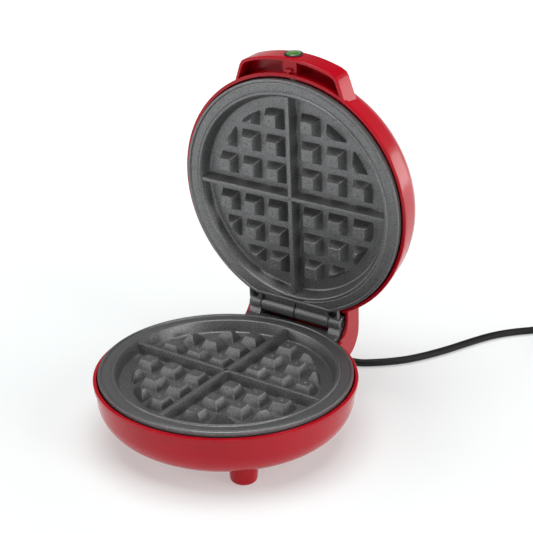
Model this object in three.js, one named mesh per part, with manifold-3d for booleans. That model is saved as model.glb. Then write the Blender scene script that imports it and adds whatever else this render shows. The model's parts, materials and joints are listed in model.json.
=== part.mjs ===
// Round waffle maker, standing with its lid open.
// Millimetres, +Z up. The front, with the handle, faces -Y and the hinge is at the rear.
import * as THREE from 'three';
import { mergeVertices } from 'three/addons/utils/BufferGeometryUtils.js';
import Module from 'manifold-3d';

const wasm = await Module();
wasm.setup();

// Driving dimensions
const PLATE_Z = 57;          // height of the lower plate's rim above the table
const CLOSE_GAP = 0.4;       // between the two rims when the lid is down
const OPEN_ANGLE = 86;       // degrees from closed to the stop
const GAP = 0.3;             // clearance between neighbouring pieces

const PLATE_R = 101;
const CAVITY_R = 88;
const FLOOR_R = 84.5;
const CAVITY_DEPTH = 10;
const BUMP_FIRST = 17;       // first bump's centre, from each cross wall
const BUMP_PITCH = 23.4;
const BUMP_BASE = 17;
const BUMP_TOP = 10;
const BUMP_LIMIT_R = 75;
const ROUND = 40;            // sides of the plates and shells

const SHELL_R = 105;
const SHELL_DEPTH = 45;      // from the plate's plane to the shell's outside bottom
const RIM_DROP = 4;          // shell's rim below the plate's plane
const WALL = 2.5;
const REAR_FLAT_Y = 92;      // flat rear of the base, where the lid's tail swings

const HINGE_Y = 106;
const HINGE_Z = PLATE_Z + 8.5;
const BARREL_R = 6.5;
const PIN_R = 2;
const BORE_R = PIN_R + GAP;
const KNUCKLE_IN = 33.6;     // outer knuckles run from here to KNUCKLE_OUT
const KNUCKLE_OUT = 45;

const TAIL_HALF = 49;        // half width of the lid's rear hinge cover
const HANDLE_R = 118.5;
const POCKET_R = 105.2;      // its pocket starts here, just outside the bowl
const HANDLE_END = [[43.4, -109.6], [45.5, -106.4], [51, -90.6], [53.2, -84.2]];
const POCKET_END = [[41.4, -107.6], [43.1, -105]];
const HANDLE_DEPTH = 22;

const FOOT_XY = 53.5;
const FOOT_R = 10.7;
const PAD_R = 7;
const BOSS_PITCH_R = 75;     // four screws tie the lower plate to the base
const REAR_CHORD_Y = 94.5;   // straight rear edge of the upper plate
const TAB_SCREW = [38.2, 94.7];

const CORD_R = 3.25;
const EXIT_Z = 20.5;
const RELIEF_END_Y = 122;

const RED = new THREE.MeshStandardMaterial({ color: 0xa5232f, roughness: 0.25 });
const NONSTICK = new THREE.MeshStandardMaterial({ color: 0x4a4a4c, roughness: 0.45, metalness: 0.5 });
const STEEL = new THREE.MeshStandardMaterial({ color: 0xb9bbbd, roughness: 0.35, metalness: 1 });
const DARK_STEEL = new THREE.MeshStandardMaterial({ color: 0x3a3a3c, roughness: 0.4, metalness: 0.9 });
const ALUMINIUM = new THREE.MeshStandardMaterial({ color: 0xc9cbcd, roughness: 0.4, metalness: 1 });
const BRASS = new THREE.MeshStandardMaterial({ color: 0xb08d4a, roughness: 0.35, metalness: 1 });
const RUBBER = new THREE.MeshStandardMaterial({ color: 0x1d1d1e, roughness: 0.8 });
const BLACK = new THREE.MeshStandardMaterial({ color: 0x161617, roughness: 0.5 });
const GREEN = new THREE.MeshStandardMaterial({ color: 0x5f9a3c, roughness: 0.15 });
const CERAMIC = new THREE.MeshStandardMaterial({ color: 0xe4dfd2, roughness: 0.6 });
const GLASS = new THREE.MeshStandardMaterial({ color: 0xd9e2dc, roughness: 0.05 });
const SLEEVE = new THREE.MeshStandardMaterial({ color: 0xe9e4d8, roughness: 0.85 });

// Solids

function solid(geometry) {
  const bare = geometry.clone();
  bare.deleteAttribute('normal');
  bare.deleteAttribute('uv');
  const merged = mergeVertices(bare, 1e-3);
  const points = merged.attributes.position.array;
  const corners = [];
  for (let i = 0; i < merged.index.count; i += 3) {
    const [a, b, c] = [0, 1, 2].map((k) => merged.index.array[i + k]);
    if (a !== b && b !== c && c !== a) corners.push(a, b, c);
  }
  const at = (i) => new THREE.Vector3().fromArray(points, 3 * i);
  let volume = 0;
  for (let i = 0; i < corners.length; i += 3) {
    volume += at(corners[i]).dot(at(corners[i + 1]).cross(at(corners[i + 2])));
  }
  if (volume < 0) corners.reverse();
  return new wasm.Manifold(new wasm.Mesh({
    numProp: 3, vertProperties: new Float32Array(points), triVerts: new Uint32Array(corners),
  }));
}

function join(first, ...rest) {
  return rest.reduce((whole, piece) => whole.add(piece), first);
}

function cut(first, ...rest) {
  return rest.reduce((whole, piece) => whole.subtract(piece), first);
}

function box(x0, x1, y0, y1, z0, z1) {
  const geometry = new THREE.BoxGeometry(x1 - x0, y1 - y0, z1 - z0);
  return solid(geometry.translate((x0 + x1) / 2, (y0 + y1) / 2, (z0 + z1) / 2));
}

// A round bar from one height to another about an upright axis at (x, y).
function post(x, y, z0, z1, radius, topRadius = radius, sides = 16) {
  const geometry = new THREE.CylinderGeometry(topRadius, radius, z1 - z0, sides).rotateX(Math.PI / 2);
  return solid(geometry.translate(x, y, (z0 + z1) / 2));
}

// A round bar along X on the hinge line.
function barrel(x0, x1, radius, sides = 20) {
  const geometry = new THREE.CylinderGeometry(radius, radius, x1 - x0, sides).rotateZ(Math.PI / 2);
  return solid(geometry.translate((x0 + x1) / 2, HINGE_Y, HINGE_Z));
}

// A profile of [radius, height] points turned about the Z axis.
function turned(profile, segments = 48) {
  const points = profile.map(([r, z]) => new THREE.Vector2(r, z));
  const onAxis = profile[0][0] === 0 && profile.at(-1)[0] === 0;
  if (!onAxis) points.push(points[0].clone());
  return new THREE.LatheGeometry(points, segments).rotateX(Math.PI / 2);
}

// A flat outline in (y, z) pushed along X from -half to +half.
function sideways(outline, half) {
  const shape = new THREE.Shape(outline.map(([y, z]) => new THREE.Vector2(y, z)));
  const geometry = new THREE.ExtrudeGeometry(shape, { depth: 2 * half, bevelEnabled: false });
  return solid(geometry.applyMatrix4(new THREE.Matrix4().set(
    0, 0, 1, -half,
    1, 0, 0, 0,
    0, 1, 0, 0,
    0, 0, 0, 1)));
}

// A flat outline in (x, y) raised from one height to another.
function upright(outline, z0, z1) {
  const shape = new THREE.Shape(outline.map(([x, y]) => new THREE.Vector2(x, y)));
  const geometry = new THREE.ExtrudeGeometry(shape, { depth: z1 - z0, bevelEnabled: false });
  return solid(geometry.translate(0, 0, z0));
}

function tube(points, radius, sides, steps) {
  const path = new THREE.CatmullRomCurve3(points.map((p) => new THREE.Vector3(...p)), false, 'centripetal');
  const ring = [];
  for (let i = 0; i < sides; i += 1) {
    const turn = (2 * Math.PI * i) / sides;
    ring.push(new THREE.Vector2(radius * Math.cos(turn), radius * Math.sin(turn)));
  }
  const settings = { steps, bevelEnabled: false, extrudePath: path };
  return new THREE.ExtrudeGeometry(new THREE.Shape(ring), settings);
}

function meshOf(body) {
  const { numProp, vertProperties, triVerts } = body.getMesh();
  const positions = new Float32Array((vertProperties.length / numProp) * 3);
  for (let i = 0; i < positions.length / 3; i += 1) {
    for (let k = 0; k < 3; k += 1) positions[3 * i + k] = vertProperties[numProp * i + k];
  }
  const geometry = new THREE.BufferGeometry();
  geometry.setAttribute('position', new THREE.BufferAttribute(positions, 3));
  geometry.setIndex(new THREE.BufferAttribute(new Uint32Array(triVerts), 1));
  return geometry;
}

function add(group, name, shape, material) {
  const body = shape.isBufferGeometry ? solid(shape) : shape;
  const mesh = new THREE.Mesh(meshOf(body), material);
  mesh.name = name;
  group.add(mesh);
  return mesh;
}

// Everything of the base stands in `base`. The lid's pieces are drawn closed, in the same
// coordinates as the base, and `lid` then turns them about the hinge line to the open stop.
const waffleMaker = new THREE.Group();
const base = new THREE.Group();
const lid = new THREE.Group();
const lidTurn = new THREE.Group();
lidTurn.position.set(0, HINGE_Y, HINGE_Z);
lidTurn.rotation.x = THREE.MathUtils.degToRad(-OPEN_ANGLE);
lid.position.set(0, -HINGE_Y, -HINGE_Z);
lidTurn.add(lid);
waffleMaker.add(base, lidTurn);

const LID_Z = PLATE_Z + CLOSE_GAP;

// Turns a solid drawn as the lower half, with its rim plane at z = 0, to where it belongs.
const lowerPlace = new THREE.Matrix4().makeTranslation(0, 0, PLATE_Z);
const upperPlace = new THREE.Matrix4().makeTranslation(0, 0, LID_Z)
  .multiply(new THREE.Matrix4().makeRotationX(Math.PI));

function placed(body, matrix) {
  return body.transform(matrix.elements);
}

// Cooking plates

function bump(x, y) {
  const height = CAVITY_DEPTH + 0.5 - 1.8;
  const geometry = new THREE.CylinderGeometry(
    BUMP_TOP / Math.SQRT2, BUMP_BASE / Math.SQRT2, height, 4);
  geometry.rotateX(Math.PI / 2).rotateZ(Math.PI / 4);
  return solid(geometry.translate(x, y, -CAVITY_DEPTH - 0.5 + height / 2));
}

function bumps() {
  const all = [];
  for (let i = 0; i < 3; i += 1) {
    for (let j = 0; j < 3; j += 1) {
      if (i === 2 && j === 2) continue;
      for (const [sx, sy] of [[1, 1], [-1, 1], [-1, -1], [1, -1]]) {
        all.push(bump(sx * (BUMP_FIRST + i * BUMP_PITCH), sy * (BUMP_FIRST + j * BUMP_PITCH)));
      }
    }
  }
  const limit = post(0, 0, -CAVITY_DEPTH - 1, 0, BUMP_LIMIT_R + 0.4, BUMP_LIMIT_R - 4.2, ROUND);
  return join(...all).intersect(limit);
}

function crossWalls() {
  const section = [[-3.5, -CAVITY_DEPTH - 0.5], [3.5, -CAVITY_DEPTH - 0.5], [1.5, -1.2], [-1.5, -1.2]];
  const along = sideways(section, CAVITY_R - 1.5);
  return join(along, placed(along, new THREE.Matrix4().makeRotationZ(Math.PI / 2)));
}

// Rim plane at z = 0, cavity opening up, underside at z = -13.
function plateBody() {
  const underside = -CAVITY_DEPTH - 3;
  const disc = solid(turned([
    [0, underside], [83.5, underside], [89, -6], [89, -3.4], [98.4, -3.4], [98.4, -4.5], [PLATE_R, -4.5],
    [PLATE_R, -0.5], [PLATE_R - 0.5, 0], [98.8, 0], [98.3, -0.6], [91.2, -0.6], [90.4, 0], [88.6, 0],
    [CAVITY_R, -0.4], [FLOOR_R, -CAVITY_DEPTH], [0, -CAVITY_DEPTH],
  ], ROUND));
  return join(disc, bumps(), crossWalls());
}

const plateSolid = plateBody();

function lowerPlate() {
  const underside = PLATE_Z - CAVITY_DEPTH - 3;
  const parts = [placed(plateSolid, lowerPlace)];
  const holes = [];
  for (const side of [-1, 1]) {
    const [x0, x1] = side < 0 ? [-KNUCKLE_OUT, -KNUCKLE_IN] : [KNUCKLE_IN, KNUCKLE_OUT];
    parts.push(barrel(x0, x1, BARREL_R));
    parts.push(box(x0, x1, 88, 110.5, PLATE_Z - 4.5, PLATE_Z - 0.7));
    parts.push(box(x0, x1, 101.9, 110.5, PLATE_Z - 4.5, HINGE_Z));
    holes.push(barrel(x0 - 1, x1 + 1, BORE_R, 12));
  }
  parts.push(box(-KNUCKLE_IN, KNUCKLE_IN, 88, 104.5, PLATE_Z - 4.5, PLATE_Z - 0.7));
  for (const [x, y] of bossPlaces()) {
    parts.push(post(x, y, underside - 8.2, underside + 1, 4.5, 4.5, 10));
    holes.push(post(x, y, underside - 9, underside - 0.5, 2, 2, 8));
  }
  return cut(join(...parts), ...holes);
}

function upperPlate() {
  const parts = [cut(placed(plateSolid, upperPlace),
    box(-60, 60, REAR_CHORD_Y, 110, LID_Z - 1, LID_Z + 20))];
  const holes = [];
  for (const side of [-1, 1]) {
    const span = (a, b) => (side < 0 ? [-b, -a] : [a, b]);
    const [b0, b1] = span(0.4, KNUCKLE_IN - 0.6);
    parts.push(barrel(b0, b1, BARREL_R));
    holes.push(barrel(b0 - 1, b1 + 1, BORE_R, 12));
    const [w0, w1] = span(0.4, 31);
    parts.push(box(w0, w1, 86, 101, PLATE_Z + 5, PLATE_Z + 9.5));
    const [t0, t1] = span(31.5, 44);
    parts.push(box(t0, t1, 84, 100, LID_Z, LID_Z + 4.5));
    const [x, y] = [side * TAB_SCREW[0], TAB_SCREW[1]];
    holes.push(post(x, y, LID_Z - 1, LID_Z + 2.2, 4, 4, 14));
    holes.push(post(x, y, LID_Z, LID_Z + 6, 2, 2, 10));
  }
  parts.push(box(-6, 6, -99.5, -91, LID_Z + 3, LID_Z + 8));
  return cut(join(...parts), ...holes);
}

// Shells

// Outside of the bowl below its rim plane at z = 0, as [radius, height].
function shellOutline(inset) {
  const cornerR = 72.5;
  const cornerZ = -19;
  const width = 29.8;
  const depth = SHELL_DEPTH + cornerZ;
  const outline = [[SHELL_R, -RIM_DROP], [SHELL_R - 0.6, -8.5], [SHELL_R - 1.4, -9]];
  for (let i = 0; i <= 4; i += 1) {
    const turn = (i / 4) * (Math.PI / 2);
    outline.push([cornerR + width * Math.cos(turn), cornerZ - depth * Math.sin(turn)]);
  }
  const lowest = -SHELL_DEPTH + inset;
  return outline.map(([r, z]) => [r - inset, Math.max(z, lowest)]);
}

function bowl(inset, top) {
  const outline = shellOutline(inset);
  const lowest = -SHELL_DEPTH + inset;
  const section = [[0, top], [SHELL_R - inset, top], ...outline.slice(1), [0, lowest]];
  return solid(turned(section.reverse(), ROUND));
}

const bowlOuter = bowl(0, -RIM_DROP);
const bowlInner = bowl(WALL, 1);

function footPlaces() {
  return [[1, -1], [1, 1], [-1, 1], [-1, -1]].map(([sx, sy]) => [sx * FOOT_XY, sy * FOOT_XY]);
}

function bossPlaces() {
  return [[0, -BOSS_PITCH_R], [BOSS_PITCH_R, 0], [0, BOSS_PITCH_R - 8], [-BOSS_PITCH_R, 0]];
}

function baseShell() {
  const flat = box(-130, 130, REAR_FLAT_Y, 130, 0, 80);
  const innerFlat = box(-130, 130, REAR_FLAT_Y - WALL, 130, 0, 80);
  const outer = cut(placed(bowlOuter, lowerPlace), flat);
  const inner = cut(placed(bowlInner, lowerPlace), innerFlat);
  const bottom = PLATE_Z - SHELL_DEPTH;
  const feet = footPlaces().map(([x, y]) => join(
    post(x, y, 2.4, bottom + 8, FOOT_R, FOOT_R + 0.8, 14),
    post(x, y, 0.6, 2.4, FOOT_R - 1.8, FOOT_R, 14)));
  const cordBoss = post(0, 0, 80, REAR_FLAT_Y, 8.2, 8.2, 18).rotate([-90, 0, 0]).translate([0, 0, EXIT_Z]);
  const cordHole = post(0, 0, 70, 100, 5.9, 5.9, 16).rotate([-90, 0, 0]).translate([0, 0, EXIT_Z]);
  let shell = cut(join(outer, ...feet), inner);
  const bosses = bossPlaces().map(([x, y]) => post(x, y, bottom + 0.5, 35.5, 6, 5.2, 10));
  shell = join(shell, ...bosses, cordBoss);
  const reliefSeat = post(0, 0, 74, 80, 6.9, 6.9, 16).rotate([-90, 0, 0]).translate([0, 0, EXIT_Z]);
  const holes = [cordHole, reliefSeat, box(-48, 48, 88, 100, PLATE_Z - 5.2, PLATE_Z),
    post(-18, 0, 80, 100, 4.2, 4.2, 10).rotate([-90, 0, 0]).translate([0, 0, 40])];
  for (const [x, y] of footPlaces()) {
    holes.push(post(x, y, 3.2, bottom + 12, FOOT_R - WALL, FOOT_R - WALL, 10));
    holes.push(post(x, y, 0, 1.8, PAD_R + GAP, PAD_R + GAP, 14));
  }
  for (const [x, y] of bossPlaces()) {
    holes.push(post(x, y, bottom - 1, bottom + 4, 4.4, 4.4, 10));
    holes.push(post(x, y, bottom, 36, 2.1, 2.1, 8));
  }
  return cut(shell, ...holes);
}

// Rear hinge cover of the closed lid, as (y, z) from the base's rim plane.
const TAIL_OUTER = [[80, 27.5], [119, 26.8], [126, 24.6], [132, 20.3], [136.3, 14.5], [138.9, 5.5],
  [139.3, -6.6], [119.2, -5.6], [118.2, -1.6], [115.2, 2.4], [110, 7.4], [102, 8.7], [80, 9]];
const TAIL_INNER = [[78, 24.8], [118.5, 24.2], [124.8, 22.2], [130.1, 18.4], [133.9, 13.3], [136.4, 5],
  [136.8, -12], [78, -12]];

function lifted(outline) {
  return outline.map(([y, z]) => [y, PLATE_Z + z]);
}

// Plan of the handle seen from above with the lid closed: an arc between rounded corners, then ends
// that spread towards the bowl.
function handleArc(radius, reach, steps) {
  const end = Math.asin(reach / radius);
  const arc = [];
  for (let i = -steps; i <= steps; i += 1) {
    const turn = (i / steps) * end;
    arc.push([radius * Math.sin(turn), -radius * Math.cos(turn)]);
  }
  return arc;
}

function betweenEnds(arc, end) {
  const left = end.map(([x, y]) => [-x, y]).reverse();
  return [...left, ...arc, ...end];
}

function handlePlan() {
  return betweenEnds(handleArc(HANDLE_R, 39, 6), HANDLE_END);
}

// The pocket's near side is the arc of the bowl's rim.
function pocketPlan() {
  const near = handleArc(POCKET_R, 47.2, 4).reverse();
  return [...betweenEnds(handleArc(HANDLE_R - WALL, 38, 6), POCKET_END), ...near];
}

function radialHole(radius, r0, r1, z, sides = 16) {
  return post(0, 0, r0, r1, radius, radius, sides).rotate([90, 0, 0]).translate([0, 0, z]);
}

const LAMP_Z = LID_Z + 14;

function lidShell() {
  const rim = LID_Z + RIM_DROP;
  const handle = upright(handlePlan(), rim, LID_Z + HANDLE_DEPTH);
  const pocket = cut(upright(pocketPlan(), rim - 1, LID_Z + HANDLE_DEPTH - WALL),
    box(-6.5, 6.5, -125, -100, LID_Z + 8.5, LID_Z + 40),
    box(-1.2, 1.2, -112, -100, rim + 1, LID_Z + 40));
  const tail = sideways(lifted(TAIL_OUTER), TAIL_HALF);
  const tailHollow = sideways(lifted(TAIL_INNER), TAIL_HALF - WALL);
  const outer = join(placed(bowlOuter, upperPlace), handle, tail);
  let shell = cut(outer, placed(bowlInner, upperPlace), pocket, tailHollow);
  const ceiling = PLATE_Z + 25.5;
  for (const side of [-1, 1]) {
    const [x, y] = [side * TAB_SCREW[0], TAB_SCREW[1]];
    shell = join(shell, post(x, y, LID_Z + 4.8, ceiling, 3.5, 3.5, 12));
    shell = cut(shell, post(x, y, LID_Z + 4, LID_Z + 18, 1.95, 1.95, 10));
  }
  const clip = cut(box(-9, 9, -103, -96.5, LID_Z + 4.5, LID_Z + 11),
    box(-6.4, 6.4, -100, -96, LID_Z + 2, LID_Z + 8.4));
  return cut(join(shell, clip),
    radialHole(6.7, 113, 125, LAMP_Z), radialHole(4.7, 98, 114, LAMP_Z));
}

// Heating

function heaterRing() {
  const ringR = 58;
  const z = -CAVITY_DEPTH - 3 - GAP - 3.3;
  const points = [[-7, ringR, z - 16], [-7, ringR, z - 8], [-9.5, ringR - 0.4, z - 2.4]];
  for (let i = 0; i <= 16; i += 1) {
    const turn = THREE.MathUtils.degToRad(104 + (i / 16) * 332);
    points.push([ringR * Math.cos(turn), ringR * Math.sin(turn), z]);
  }
  points.push([9.5, ringR - 0.4, z - 2.4], [7, ringR, z - 8], [7, ringR, z - 16]);
  return solid(tube(points, 3.1, 8, 32));
}

// A shallow dish under the ring that sends its heat to the plate.
function reflector(postHoles) {
  const top = -CAVITY_DEPTH - 3 - 7.5;
  const dish = solid(turned([
    [0, top - 0.9], [80, top - 0.9], [84.5, top + 4], [83.6, top + 4], [79.6, top], [0, top],
  ], 24));
  const holes = postHoles.map(([x, y]) => post(x, y, top - 3, top + 3, 4.9, 4.9, 12));
  return cut(dish, ...holes, box(-15.5, 15.5, 50, 64, top - 3, top + 3),
    post(0, 0, top - 3, top + 3, 9.2, 9.2, 16));
}

const ringSolid = heaterRing();

// Screws

function screw(x, y, headZ, headR, headHeight, tipZ, shankR) {
  const sign = Math.sign(tipZ - headZ);
  const neck = headZ + sign * headHeight;
  const [h0, h1] = sign > 0 ? [headZ, neck] : [neck, headZ];
  const [s0, s1] = sign > 0 ? [neck - 0.1, tipZ] : [tipZ, neck + 0.1];
  const slotDepth = 0.9;
  const slotZ = sign > 0 ? [headZ - 1, headZ + slotDepth] : [headZ - slotDepth, headZ + 1];
  const body = join(post(x, y, h0, h1, headR, headR, 14), post(x, y, s0, s1, shankR, shankR, 8));
  const arm = headR * 0.62;
  return cut(body, box(x - arm, x + arm, y - 0.5, y + 0.5, ...slotZ),
    box(x - 0.5, x + 0.5, y - arm, y + arm, ...slotZ));
}

// Base assembly

function buildBase() {
  add(base, 'base_shell', baseShell(), RED);
  add(base, 'lower_plate', lowerPlate(), NONSTICK);
  add(base, 'lower_heater', placed(ringSolid, lowerPlace), STEEL);
  add(base, 'lower_reflector', placed(reflector(bossPlaces()), lowerPlace), ALUMINIUM);
  footPlaces().forEach(([x, y], i) => {
    const corner = ['front_right', 'rear_right', 'rear_left', 'front_left'][i];
    add(base, `foot_pad_${corner}`, post(x, y, 0, 1.5, PAD_R, PAD_R, 14), RUBBER);
  });
  bossPlaces().forEach(([x, y], i) => {
    const place = ['front', 'right', 'rear', 'left'][i];
    const bottom = PLATE_Z - SHELL_DEPTH;
    add(base, `plate_screw_${place}`, screw(x, y, bottom + 1.2, 3.9, 2.4, 42, 1.7), STEEL);
  });
}

function buildThermostat() {
  const plateUnder = PLATE_Z - CAVITY_DEPTH - 3 - GAP;
  const can = post(0, 0, plateUnder - 8, plateUnder, 8, 8, 24);
  const blades = [-5, 5].map((x) => box(x - 2, x + 2, -0.4, 0.4, plateUnder - 16, plateUnder - 7));
  add(base, 'thermostat', join(can, ...blades), CERAMIC);
  const fuse = post(0, 0, -7, 7, 2.4, 2.4, 12).rotate([0, 90, 0]).translate([0, 24, plateUnder - 2.6]);
  add(base, 'thermal_fuse', fuse, SLEEVE);
  const strap = cut(box(-4, 4, 19.5, 28.5, plateUnder - 6.2, plateUnder),
    box(-5, 5, 20.9, 27.1, plateUnder - 5.4, plateUnder + 1));
  add(base, 'fuse_clip', strap, ALUMINIUM);
}

function buildWiring() {
  const floor = PLATE_Z - SHELL_DEPTH + WALL;
  const block = cut(box(14, 36, 62, 72, floor + GAP, floor + 10),
    box(17, 22, 61, 73, floor + 3, floor + 7), box(28, 33, 61, 73, floor + 3, floor + 7));
  add(base, 'terminal_block', block, CERAMIC);
  const legEnd = PLATE_Z - CAVITY_DEPTH - 3 - GAP - 3.2 - 16 - GAP;
  const entry = floor + 5;
  add(base, 'live_lead', tube([[-7, 58, legEnd], [-7, 57.5, legEnd - 4], [-5, 51, entry], [8, 44, entry - 1],
    [24, 46, entry - 0.5], [30.5, 55, entry], [30.5, 66, entry]], 1.3, 8, 16), SLEEVE);
  add(base, 'neutral_lead', tube([[7, 58, legEnd], [7.3, 57.8, legEnd - 2],
    [12, 56, entry + 1], [17.5, 58, entry], [19.5, 66, entry]], 1.3, 8, 10), SLEEVE);
}

// Hinge

function buildHinge() {
  const shaft = barrel(-KNUCKLE_OUT - 0.6, KNUCKLE_OUT + 0.4, PIN_R, 12);
  const head = cut(barrel(KNUCKLE_OUT + 0.3, KNUCKLE_OUT + 1.2, 3.6, 16),
    box(KNUCKLE_OUT + 0.8, KNUCKLE_OUT + 2, HINGE_Y - 2.4, HINGE_Y + 2.4, HINGE_Z - 0.45, HINGE_Z + 0.45));
  add(base, 'hinge_pin', join(shaft, head), DARK_STEEL);
}

// The power cord: out of its strain relief at the rear, down to the table and away to the coil.
const CORD_ROUTE = [[0, RELIEF_END_Y + GAP, EXIT_Z], [0.1, 126, 20.4], [1.2, 132, 18.8],
  [4.6, 139, 15.2], [11.6, 147, 9.4], [21, 152.5, 5.2], [31.5, 156.5, 3.6],
  [43, 164.5, 3.4], [53, 173.5, 3.4], [62.5, 184, 3.4], [71, 196.5, 3.4],
  [78.5, 210, 3.4], [85.5, 224.5, 3.4], [92, 240, 3.4], [99, 256, 3.4], [107, 271.5, 3.4],
  [118, 286.5, 3.4], [132, 301, 3.4]];
const HEADING = THREE.MathUtils.degToRad(42);
const COIL_OUT_R = 38.5;
const COIL_IN_R = 32;
const COIL_TURNS = 2.25;
const LEAD_IN = 39;          // straight run from the last point to the coil

function alongHeading([x, y], distance, heading) {
  return [x + distance * Math.cos(heading), y + distance * Math.sin(heading)];
}

function buildCord() {
  const relief = turned([[0, 77], [6.5, 77], [6.5, 79.7], [5.4, 79.7], [5.4, REAR_FLAT_Y + GAP],
    [8.2, REAR_FLAT_Y + GAP], [8.2, 94.6], [6.4, 95.4], [4.5, RELIEF_END_Y], [0, RELIEF_END_Y]], 16);
  add(base, 'strain_relief', solid(relief).rotate([-90, 0, 0]).translate([0, 0, EXIT_Z]), BLACK);

  const start = CORD_ROUTE.at(-1);
  const touch = alongHeading(start, LEAD_IN, HEADING);
  const tubeEnd = alongHeading(start, LEAD_IN - 23.6, HEADING);
  const centre = alongHeading(touch, COIL_OUT_R, HEADING - Math.PI / 2);
  add(base, 'power_cord', tube([...CORD_ROUTE, [...tubeEnd, 3.4]], CORD_R, 10, 28), BLACK);

  const inner = COIL_IN_R - CORD_R - 0.3;
  const outer = COIL_OUT_R + CORD_R + 0.3;
  const coil = turned([[inner, 0.1], [outer, 0.1], [outer, 6.8], [outer - 3.2, 12.9], [inner + 3.2, 12.9],
    [inner, 6.8]], 36);
  add(base, 'cord_coil', coil.translate(...centre, 0), BLACK);

  const leave = HEADING + Math.PI / 2 - 2 * Math.PI * COIL_TURNS;
  const topR = (COIL_OUT_R + COIL_IN_R) / 2;
  const off = alongHeading(centre, topR, leave);
  const away = leave - Math.PI / 2;
  const fall = [[26.5, 9.2], [32, 8.2], [38, 7.6], [44, 7.4]];
  const lead = fall.map(([s, z]) => [...alongHeading(off, s, away), z]);
  add(base, 'plug_lead', tube(lead, CORD_R, 10, 4), BLACK);
  buildPlug(alongHeading(off, 44 + GAP, away), away);
}

function buildPlug([x, y], heading) {
  const shape = (body) => body.rotate([0, 90, 0])
    .rotate([0, 0, THREE.MathUtils.radToDeg(heading)]).translate([x, y, 7.4]);
  const sleeve = post(0, 0, 0, 14, 4.2, 5.6, 14);
  const block = solid(turned([[0, 13], [8, 13], [10.2, 17], [10.6, 32], [9.4, 34], [0, 34]], 20));
  const flattened = block.scale([0.68, 1.25, 1]);
  add(base, 'plug_body', shape(join(sleeve, flattened)), BLACK);
  for (const side of [-1, 1]) {
    const blade = box(-3.2, 3.2, side * 6.35 - 0.75, side * 6.35 + 0.75, 34.3, 50);
    add(base, `plug_blade_${side < 0 ? 'left' : 'right'}`, shape(blade), BRASS);
  }
}

// The flexible lead that feeds the lid, looped through the hollow behind the hinge.
function buildLidCable() {
  const points = [[-18, 84, 40], [-18, 96, 40], [-18, 106, 43], [-18, 114, 50], [-18, 117.2, 60],
    [-18, 117.6, 72], [-18, 119, 86], [-18, 123, 98]];
  add(base, 'lid_cable', tube(points, 1.9, 8, 18), RUBBER);
}

// Lid assembly

function buildLid() {
  add(lid, 'lid_shell', lidShell(), RED);
  add(lid, 'upper_plate', upperPlate(), NONSTICK);
  const ring = placed(ringSolid, upperPlace);
  add(lid, 'upper_heater', ring, STEEL);
  add(lid, 'upper_reflector', placed(reflector([]), upperPlace), ALUMINIUM);
  for (const side of [-1, 1]) {
    const name = `tab_screw_${side < 0 ? 'left' : 'right'}`;
    const [x, y] = TAB_SCREW;
    add(lid, name, screw(side * x, y, LID_Z + 0.2, 3.6, 1.7, LID_Z + 16, 1.6), DARK_STEEL);
  }
}

function buildIndicator() {
  const outward = (profile, sides) =>
    solid(turned(profile, sides)).rotate([90, 0, 0]).translate([0, 0, LAMP_Z]);
  add(lid, 'lens_bezel', outward([[5.4, 113.4], [6.3, 113.4], [6.3, HANDLE_R + 0.3], [7.6, HANDLE_R + 0.4],
    [7.2, HANDLE_R + 1.2], [5.4, HANDLE_R + 1.2]], 24), BLACK);
  add(lid, 'indicator_lens', outward([[0, 113.6], [5.1, 113.6], [5.1, HANDLE_R + 0.9], [3.4, HANDLE_R + 1.7],
    [0, HANDLE_R + 2]], 20), GREEN);
  const lamp = outward([[0, 103.4], [2.8, 103.4], [2.8, 111], [1.6, 112.8], [0, 113.1]], 14);
  add(lid, 'indicator_lamp', lamp, GLASS);
  const holder = outward([[0, 97.6], [3, 97.6], [3, 99.4], [4.4, 99.4], [4.4, 103.1], [0, 103.1]], 14);
  add(lid, 'lamp_holder', holder, CERAMIC);
}

// Leads inside the lid, to the two ends of the upper heater.
function buildLidLeads() {
  const legTop = LID_Z + CAVITY_DEPTH + 3 + GAP + 3.3 + 16 + GAP;
  const lampPoints = [[0, -97.2, LAMP_Z], [-0.2, -94, LAMP_Z + 1],
    [-1, -90, LAMP_Z + 6], [-3, -82, legTop - 4],
    [-6, -68, legTop + 2.5], [-7, -60, legTop + 3], [-7, -58, legTop + 1.6], [-7, -58, legTop]];
  add(lid, 'lamp_lead', tube(lampPoints, 1.1, 8, 14), SLEEVE);
  const feedPoints = [[-18, 73.6, 85.4], [-18, 60, 88], [-14, 30, 89.5],
    [-4, -10, 89.5], [4, -40, legTop + 1],
    [7, -55.5, legTop + 3.2], [7, -58, legTop + 1.8], [7, -58, legTop]];
  add(lid, 'heater_feed', tube(feedPoints, 1.4, 8, 18), SLEEVE);
}

buildBase();
buildThermostat();
buildWiring();
buildHinge();
buildCord();
buildLidCable();
buildLid();
buildIndicator();
buildLidLeads();

// The origin is on the table below the middle of the open waffle maker, without its cord.
waffleMaker.updateMatrixWorld(true);
const reach = new THREE.Box3().setFromObject(lidTurn, true);
waffleMaker.position.y = -(reach.max.y - SHELL_R) / 2;

export default waffleMaker;
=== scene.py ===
"""Round waffle maker, standing open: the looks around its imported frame."""

import json
from math import asin, cos, pi, radians, sin

import bpy
from mathutils import Matrix, Vector


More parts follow.
